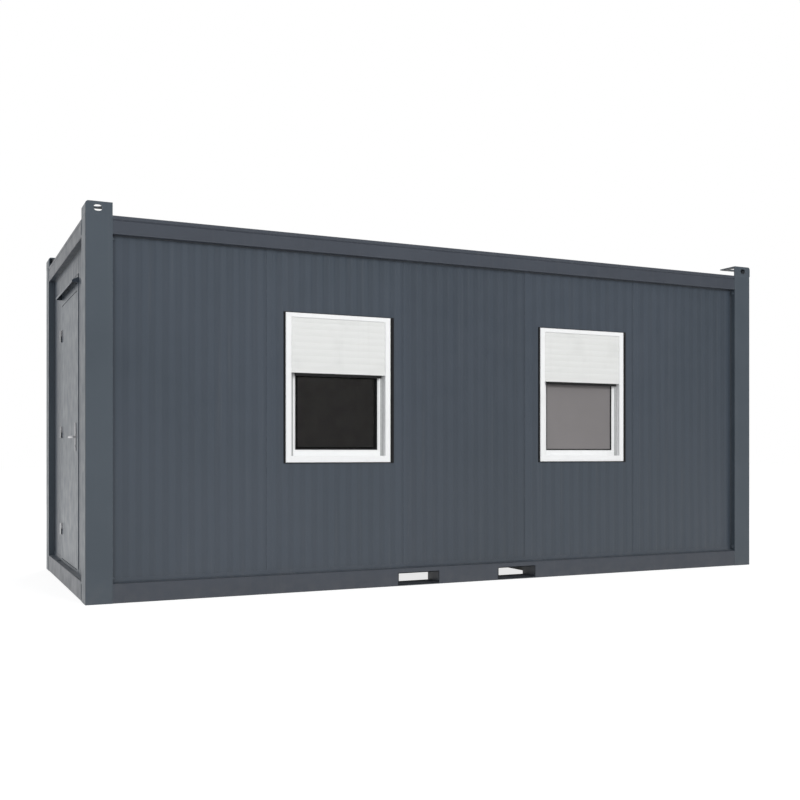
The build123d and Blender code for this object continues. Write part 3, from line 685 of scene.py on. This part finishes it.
# Panel seals: a dark sealant strip where the panels meet the roof rails and the posts
sealant, tree, shader = new_material("dark_sealant", 0.7)
blobs = noise(tree, place_points(tree), 90.0, 4.0)
two_tones(tree, shader, blobs, (0.026, 0.032, 0.040, 1.0), (0.036, 0.043, 0.052, 1.0), 0.55, 0.75)
bump(tree, shader, blobs, 0.3, 0.001)
seal = [(0.0, 0.0), (0.006, 0.0), (0.0055, -0.003), (0.003, -0.006), (0.0, -0.007)]
seal_shells = []
for side in (-1, 1):
    y_face, x_face = side * VALLEY_Y, side * VALLEY_X
    seal_shells.append(run_along(seal, (-x_post, y_face, WALL_TOP), (x_post, y_face, WALL_TOP), side * Y, Z))
    seal_shells.append(run_along(seal, (x_face, -y_post, WALL_TOP), (x_face, y_post, WALL_TOP), side * X, Z))
    for other in (-1, 1):
        x, y = other * x_post, other * y_post
        seal_shells.append(run_along(seal, (x, y_face, RAIL_HIGH), (x, y_face, WALL_TOP), side * Y, other * X))
        seal_shells.append(run_along(seal, (x_face, y, RAIL_HIGH), (x_face, y, WALL_TOP), side * X, other * Y))
new_piece("panel_seals", seal_shells, sealant)

# --------------------------------------------------------------
# Windows: white moulded PVC, an outer frame with shutter guides, a black gasket against the
# panel, and a sash behind. The corners are welded, so only a fine line shows at the mitres.

PVC_WHITE = (0.88, 0.89, 0.90, 1.0)


def white_plastic(name, colour, roughness):
    """Moulded white plastic: an even tone with a little dirt in it and a fine mould grain."""
    material, tree, shader = new_material(name, roughness)
    points = place_points(tree)
    dirt = spread(tree, noise(tree, points, 5.0, 8.0), 0.5, 0.8, 0.0, 0.5)
    grime = tuple(value * 0.86 for value in colour[:3]) + (1.0,)
    soiled = mixed(tree, dirt, colour, grime)
    looks = {"Color": soiled, "Roughness": roughness, "Dust Amount": 0.10, "Streak Amount": 0.05}
    aged = add_node(tree, "ShaderNodeGroup", looks, node_tree=weathering).outputs
    coat(tree, shader, aged["Color"], aged["Roughness"])
    bump(tree, shader, noise(tree, points, 900.0, 2.0), 0.12, 0.0002)
    return material


white_pvc = white_plastic("white_pvc_moulded", PVC_WHITE, 0.32)
dress(["window_frame_left", "window_frame_right", "window_sashes"], white_pvc)

rubber, tree, shader = new_material("black_gasket_rubber", 0.62)
shader.inputs["Specular IOR Level"].default_value = 0.25
bloom = noise(tree, place_points(tree), 120.0, 5.0)
black = mixed(tree, spread(tree, bloom, 0.35, 0.7), (0.006, 0.006, 0.007, 1.0), (0.012, 0.012, 0.013, 1.0))
coat(tree, shader, black, spread(tree, bloom, 0.3, 0.7, 0.5, 0.7))


def round_window(profile, low, high, depth):
    """A profile carried round the upright rectangle from low to high, set at a depth."""
    return run_around(profile, (low.x, low.z), (high.x, high.z), X, Z, Y, depth * Y)


# Gaskets: a black lip round each frame; on the side away from the door it is drawn broad, as a painted shadow of the
# frame on the panel
WINDOWS = {side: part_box(f"window_frame_{side}") for side in ("left", "right")}
GASKET_LEFT, GASKET_AND_SHADOW_RIGHT, GASKET_LEVEL = 0.013, 0.036, 0.006
lip = [(0.0, 0.0), (0.9, 0.0), (1.0, -0.004), (0.8, -0.010), (0.0, -0.012)]
gasket_and_shadow_shells = []
for low, high in WINDOWS.values():
    points, faces = round_window(lip, low, high, -VALLEY_Y)
    near_x, near_z = np.clip(points[:, 0], low.x, high.x), np.clip(points[:, 2], low.z, high.z)
    side_width = np.where(points[:, 0] < near_x, GASKET_LEFT, GASKET_AND_SHADOW_RIGHT)
    points[:, 0] = near_x + (points[:, 0] - near_x) * side_width
    points[:, 2] = near_z + (points[:, 2] - near_z) * GASKET_LEVEL
    gasket_and_shadow_shells.append((points, faces))
new_piece("window_gaskets_and_shadow", gasket_and_shadow_shells, rubber)

# Corner welds: the fine ridge that is left where two lengths of the frame are melted together
SILL_FACE, HEAD_FACE, GUIDE_FACE, RIDGE_STOP = 0.050, 0.035, 0.045, 0.005
FRAME_FRONT = WINDOWS["left"][0].y
ridge = [(-0.0009, -0.0004), (0.0009, -0.0004), (0.0005, 0.0005), (-0.0005, 0.0005)]
ridge_shells = []
for low, high in WINDOWS.values():
    for x_edge, x_sign in ((low.x, 1), (high.x, -1)):
        for z_edge, z_sign, face in ((low.z, 1, SILL_FACE), (high.z, -1, HEAD_FACE)):
            outer = np.array([x_edge + x_sign * RIDGE_STOP, FRAME_FRONT, z_edge + z_sign * RIDGE_STOP])
            reach = np.array([x_sign * (GUIDE_FACE - 2 * RIDGE_STOP), 0.0, z_sign * (face - 2 * RIDGE_STOP)])
            across = np.cross(reach / np.linalg.norm(reach), Y)
            ridge_shells.append(run_along(ridge, outer, outer + reach, across, -Y))
new_piece("frame_corner_welds", ridge_shells, white_pvc)

# Weep caps: two covers over the drain slots in each sill. A ring is a circle pulled out sideways
CAP_STRETCH, CAP_LEVEL, CAP_SHARES = 0.011, 0.020, (0.22, 0.78)
CAP_RINGS = ((0.0060, -0.0004), (0.0060, 0.0015), (0.0048, 0.0028), (0.0015, 0.0028))
angle = np.linspace(0.0, 2 * math.pi, 17)[:-1]
stretch = np.where(np.cos(angle) >= 0.0, CAP_STRETCH, -CAP_STRETCH)
cap_shells = []
for low, high in WINDOWS.values():
    for share in CAP_SHARES:
        middle = low.x + share * (high.x - low.x) + stretch
        rings = [
            [middle + r * np.cos(angle), np.full(16, FRAME_FRONT - proud), low.z + CAP_LEVEL + r * np.sin(angle)]
            for r, proud in CAP_RINGS
        ]
        cap_shells.append(skin(np.moveaxis(np.array(rings), 1, -1)))
new_piece("weep_caps", cap_shells, white_pvc)

# Sash seals: a soft grey lap seal between the stiles of each sash and its frame, drawn wide and grey enough to be also
# the painted shade of the reveal beside each sash
SASH_FRONT, SASH_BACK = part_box("window_sashes")[0].y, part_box("window_sashes")[1].y
lap_seal_and_shade, tree, shader = new_material("grey_lap_seal_and_shade", 0.6)
rub = noise(tree, place_points(tree), 70.0, 5.0)
two_tones(tree, shader, rub, (0.44, 0.45, 0.455, 1.0), (0.39, 0.40, 0.405, 1.0), 0.5, 0.68)
lap = [(0.0, 0.0003), (0.024, 0.0003), (0.026, -0.0015), (0.022, -0.0035), (0.004, -0.0045), (0.0, -0.0045)]
sash_seals_and_shade = []
for low, high in WINDOWS.values():
    for x_edge, inward in ((low.x + GUIDE_FACE, X), (high.x - GUIDE_FACE, -X)):
        start, end = (x_edge, SASH_FRONT, low.z + SILL_FACE), (x_edge, SASH_FRONT, high.z - HEAD_FACE)
        sash_seals_and_shade.append(run_along(lap, start, end, inward, Y))
new_piece("sash_seals_and_shade", sash_seals_and_shade, lap_seal_and_shade)

# Window handles inside: a round rose and a flat lever that hangs down, on the stile of each
# sash. The lever's rings are ellipses on a line that bows and widens as a half sine
STILE, LEVER_LENGTH, LEVER_ABOVE, LEVER_PROUD = 0.024, 0.125, 0.010, 0.031
rose = [(0.016, -0.0005), (0.016, 0.007), (0.013, 0.010), (0.007, 0.010), (0.0065, 0.036), (0.003, 0.038)]
along = np.linspace(0.0, 1.0, 9)[:, None]
turn = np.linspace(0.0, 2 * math.pi, 13)[None, :-1]
handle_shells = []
for side in WINDOWS:
    low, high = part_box(f"window_glass_{side}")
    x_rose, z_rose = high.x + STILE, (high.z + low.z) / 2
    handle_shells.append(turned(rose, (x_rose, SASH_BACK, z_rose), Y, X, 20))
    bow = np.sin(math.pi * along)
    x = x_rose + (0.0085 + 0.002 * bow) * np.cos(turn)
    y = SASH_BACK + LEVER_PROUD + 0.006 * bow + 0.0045 * np.sin(turn)
    z = z_rose + LEVER_ABOVE - LEVER_LENGTH * along + 0.0 * turn
    handle_shells.append(skin(np.stack([x, y, z], axis=-1)))
new_piece("window_handles", handle_shells, white_pvc, smooth=True)

# Window trims inside: a flat strip that covers the joint between each frame and the lining
strip = [(0.0005, 0.0), (0.0005, 0.007), (0.004, 0.009), (0.028, 0.009), (0.030, 0.006), (0.030, 0.0)]
trim_shells = [round_window(strip, low, high, -room_high.y) for low, high in WINDOWS.values()]
new_piece("window_trims", trim_shells, white_pvc)

# --------------------------------------------------------------
# Shutter curtains: white PVC slats with a heavier bar at the foot, let part way down in their
# guides. A black rubber lip under the bar takes up the gap when the curtain is on the sill; it is
# drawn deep and only as wide as the pane, so that it is also the painted shadow under the bar.

SLAT_WHITE = (0.735, 0.745, 0.74, 1.0)
slats = white_plastic("shutter_slat_plastic", SLAT_WHITE, 0.38)
dress(["shutter_curtain_left", "shutter_curtain_right"], slats)

# The lip is deeper than a real one and stops short of the guides: partly a painted shadow under the bar
LIP_AND_SHADOW_DROP, LIP_END, LIP_INSET = 0.024, 0.042, 0.0008
lip_and_shadow_shells = []
for side in WINDOWS:
    low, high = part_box(f"shutter_curtain_{side}")
    front, back, z_lip = low.y + LIP_INSET, high.y - LIP_INSET, low.z + 0.0003
    hem = [(front, 0.0), (back, 0.0), (back - 0.001, -LIP_AND_SHADOW_DROP * 0.8), (back - 0.003, -LIP_AND_SHADOW_DROP)]
    hem += [(front + 0.003, -LIP_AND_SHADOW_DROP), (front + 0.001, -LIP_AND_SHADOW_DROP * 0.8)]
    lip_and_shadow_shells.append(run_along(hem, (low.x + LIP_END, 0.0, z_lip), (high.x - LIP_END, 0.0, z_lip), Y, Z))
new_piece("shutter_lips_and_shadow", lip_and_shadow_shells, rubber)

# --------------------------------------------------------------
# Glass: two panes and a black spacer in each window, clear in the left one and with a satin
# privacy film in the right one. A black bead holds them in the sash on both faces.

clear_glass, tree, shader = new_material("clear_double_glazing", 0.02)
shader.inputs["Transmission Weight"].default_value = 1.0
shader.inputs["IOR"].default_value = 1.45
smear = noise(tree, place_points(tree), 7.0, 6.0)
smeared = mixed(tree, spread(tree, smear, 0.4, 0.7), (0.82, 0.80, 0.79, 1.0), (0.78, 0.76, 0.75, 1.0))
coat(tree, shader, smeared, spread(tree, smear, 0.4, 0.75, 0.01, 0.06))

satin_glass, tree, shader = new_material("satin_film_glazing", 0.35)
points = place_points(tree)
cloud = noise(tree, points, 2.0, 3.0)
two_tones(tree, shader, cloud, (0.205, 0.194, 0.197, 1.0), (0.188, 0.178, 0.181, 1.0), 0.30, 0.42)
bump(tree, shader, noise(tree, points, 500.0, 3.0), 0.08, 0.0002)

PANE, UNIT, GROUND = 0.004, 0.024, 0.0012
SPACER_FACE, BEAD_FACE = 0.022, 0.010
spacer = [(-0.0004, PANE), (-0.0004, UNIT - PANE), (-SPACER_FACE, UNIT - PANE), (-SPACER_FACE, PANE)]
bead = [(0.0, 0.0), (-BEAD_FACE, 0.0), (-BEAD_FACE - 0.001, -0.002), (-0.005, -0.006), (0.0, -0.007)]
inner_bead = [(u, -v) for u, v in bead]
bead_shells, spacer_shells = [], []
for side, pane_material in (("left", clear_glass), ("right", satin_glass)):
    low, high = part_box(f"window_glass_{side}")
    corners = np.array([(low.x, low.z), (high.x, low.z), (high.x, high.z), (low.x, high.z)])
    ground = np.array([(1, 1), (-1, 1), (-1, -1), (1, -1)]) * GROUND
    pane_shells = []
    for y_face, inward in ((low.y, 1.0), (high.y, -1.0)):
        rings = []
        for depth, drawn_in in ((0.0, 1.0), (GROUND, 0.0), (PANE - GROUND, 0.0), (PANE, 1.0)):
            plan = corners + ground * drawn_in
            rings.append(np.stack([plan[:, 0], np.full(4, y_face + inward * depth), plan[:, 1]], axis=-1))
        pane_shells.append(skin(rings))
    panes = new_piece(f"glass_panes_{side}", pane_shells, pane_material)
    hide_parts(f"window_glass_{side}")
    spacer_shells.append(round_window(spacer, low, high, low.y))
    bead_shells.append(round_window(bead, low, high, low.y))
    bead_shells.append(round_window(inner_bead, low, high, high.y))
new_piece("glass_spacers", spacer_shells, rubber)
new_piece("glazing_beads", bead_shells, rubber)

# --------------------------------------------------------------
# Door: a powder-coated steel frame with a threshold, and a folded leaf that closes on a black
# seal in the frame's rebate.

DOOR_GREY = (0.078, 0.096, 0.118, 1.0)
DOOR_GREY_SHADE = (0.070, 0.087, 0.108, 1.0)
door_paint = painted_steel("door_powder_coat", DOOR_GREY, DOOR_GREY_SHADE, 1.8, 0.2, 0.04, 0.3, 0.30, 0.42)[0]
dress(["door_frame", "door_leaf"], door_paint)

frame_low, frame_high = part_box("door_frame")
leaf_low, leaf_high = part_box("door_leaf")
REBATE_BACK = leaf_high.x + 0.005
DOORWAY_HALF, DOORWAY_HEAD = 0.4385, 2.265

# Door seal: a black bulb pressed into the rebate, on both jambs and across the head
bulb = [(-0.004, 0.0), (0.012, 0.0), (0.012, -0.0020), (0.008, -0.0043), (0.001, -0.0043), (-0.004, -0.0020)]
BULB_INSET, BULB_LAP = 0.008, 0.004
y_end, z_end, z_head = DOORWAY_HALF + BULB_LAP, DOORWAY_HEAD + BULB_LAP, DOORWAY_HEAD + BULB_INSET
jamb_seals = []
for y_side in (-1, 1):
    y_stop = y_side * (DOORWAY_HALF + BULB_INSET)
    start, end = (REBATE_BACK, y_stop, DECK_TOP + 0.002), (REBATE_BACK, y_stop, z_end)
    jamb_seals.append(run_along(bulb, start, end, y_side * Y, X))
jamb_seals.append(run_along(bulb, (REBATE_BACK, -y_end, z_head), (REBATE_BACK, y_end, z_head), Z, X))
new_piece("door_seal", jamb_seals, rubber)

# Threshold tread: a ribbed aluminium strip screwed on the threshold behind the leaf
TREAD_RIBS, RIB_RISE, TREAD_THICK = 6, 0.0011, 0.0012
rib = np.linspace(0.0, 1.0, 4 * TREAD_RIBS + 1)
tread_x = REBATE_BACK + 0.0015 + rib * (frame_high.x - REBATE_BACK - 0.004)
tread_z = DECK_TOP + TREAD_THICK + RIB_RISE * np.array([0.0, 1.0, 1.0, 0.0] * TREAD_RIBS + [0.0])
tread = list(zip(tread_x, tread_z)) + [(tread_x[-1], DECK_TOP - HAIR), (tread_x[0], DECK_TOP - HAIR)]
tread_run = run_along(tread, (0.0, -DOORWAY_HALF + 0.001, 0.0), (0.0, DOORWAY_HALF - 0.001, 0.0), X, Z)
new_piece("threshold_tread", [tread_run], zinc)

# Architrave inside: a flat strip over the joint between the door frame and the lining
ARCHITRAVE = 0.030
strip = [(-0.004, 0.0), (-0.004, 0.006), (0.0, 0.009), (0.026, 0.009), (ARCHITRAVE, 0.005), (ARCHITRAVE, 0.0)]
x_wall = frame_high.x - HAIR
architrave = []
for y_side in (-1, 1):
    y_edge = y_side * frame_high.y
    start, end = (x_wall, y_edge, DECK_TOP), (x_wall, y_edge, frame_high.z + ARCHITRAVE)
    architrave.append(run_along(strip, start, end, y_side * Y, X))
start, end = (x_wall, frame_low.y, frame_high.z), (x_wall, frame_high.y, frame_high.z)
architrave.append(run_along(strip, start, end, Z, X))
new_piece("door_architrave", architrave, lining)

# --------------------------------------------------------------
# Canopy: folded sheet over the door in the panels' colour, riveted through an upright flange
# against the panel above, with a bead of sealant along the top of the flange.

dress(["door_canopy"], panel_paint)
FLANGE_RISE, CANOPY_RIVETS = 0.022, 6
canopy_low, canopy_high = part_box("door_canopy")


def over_canopy(proud, rise):
    """The two ends of a line along the canopy's back edge, so far proud of it and above it."""
    return [(canopy_high.x - proud, y, canopy_high.z + rise) for y in (canopy_low.y, canopy_high.y)]


flange = [(0.0, -0.001), (0.0012, -0.001), (0.0020, 0.0005), (0.0020, FLANGE_RISE), (0.0, FLANGE_RISE)]
flange_run = run_along(flange, *over_canopy(0.0, 0.0), -X, Z)
new_piece("canopy_flange", [flange_run], panel_paint)
canopy_rivets = rivets(*over_canopy(0.0016, FLANGE_RISE / 2), -X, CANOPY_RIVETS)
new_piece("canopy_rivets", [canopy_rivets], panel_paint, smooth=True)
caulk = [(-0.002, -0.001), (0.004, -0.001), (0.003, 0.002), (0.0, 0.004), (-0.002, 0.004)]
new_piece("canopy_caulk", [run_along(caulk, *over_canopy(0.0, FLANGE_RISE), -X, Z)], sealant)

# --------------------------------------------------------------
# Ironmongery: three hinges and the lever handles, of satin stainless steel brushed along their
# length, each held by domed screws. The lock cylinder below the lever has a keyway.

satin_steel, tree, shader = new_material("satin_stainless", 0.3, 1.0)
brushed = noise(tree, place_points(tree, (60.0, 60.0, 900.0)), 1.0, 3.0)
two_tones(tree, shader, brushed, (0.56, 0.56, 0.57, 1.0), (0.48, 0.48, 0.49, 1.0), 0.24, 0.36)
dress(["hinge_frame_halves", "hinge_leaf_halves", "door_handle"], satin_steel)

HINGE_LEVELS = (0.415, 1.225, 2.035)
HINGE_Y, HINGE_SCREW, HINGE_PLATE = 0.461, 0.024, 0.004
screw = [(0.0042, -0.0004), (0.0042, 0.0004), (0.0030, 0.0014), (0.0012, 0.0014), (0.0010, 0.0008)]
for name, y_screw, offsets, body in (
    ("hinge_screws_frame", HINGE_Y + HINGE_SCREW, (-0.037, -0.012), "cabin"),
    ("hinge_screws_leaf", HINGE_Y - HINGE_SCREW, (0.012, 0.037), "door"),
):
    screw_shells = [
        turned(screw, (leaf_low.x - HINGE_PLATE, y_screw, level + offset), -X, Z, 14)
        for level in HINGE_LEVELS
        for offset in offsets
    ]
    new_piece(name, screw_shells, zinc, body=body)

HANDLE_Y, HANDLE_LEVEL, PLATE_RISE, PLATE_SCREW = -0.3935, 1.175, 0.006, 0.098
LOCK_DROP, LOCK_PROUD, KEYWAY_RISE = 0.072, 0.003, 0.0005
# The keyway is a thin black slot laid on the cylinder's face: a painted shadow of the keyhole
slot = [(-0.0012, -0.0050), (0.0012, -0.0050), (0.0012, 0.0010), (0.0022, 0.0026), (0.0010, 0.0050)]
slot += [(-0.0010, 0.0050), (-0.0022, 0.0026), (-0.0012, 0.0010)]
handle_screws, keyway_shadows = [], []
for x_face, outward in ((leaf_low.x, -1.0), (leaf_high.x, 1.0)):
    for offset in (-PLATE_SCREW, PLATE_SCREW):
        place = (x_face + outward * PLATE_RISE, HANDLE_Y, HANDLE_LEVEL + offset)
        handle_screws.append(turned(screw, place, outward * X, Z, 14))
    x_slot, z_slot = x_face + outward * (PLATE_RISE + LOCK_PROUD - HAIR), HANDLE_LEVEL - LOCK_DROP
    start, end = (x_slot, HANDLE_Y, z_slot), (x_slot + outward * KEYWAY_RISE, HANDLE_Y, z_slot)
    keyway_shadows.append(run_along(slot, start, end, Y, Z))
new_piece("handle_screws", handle_screws, zinc, body="door")
new_piece("keyway_shadows", keyway_shadows, rubber, body="door")
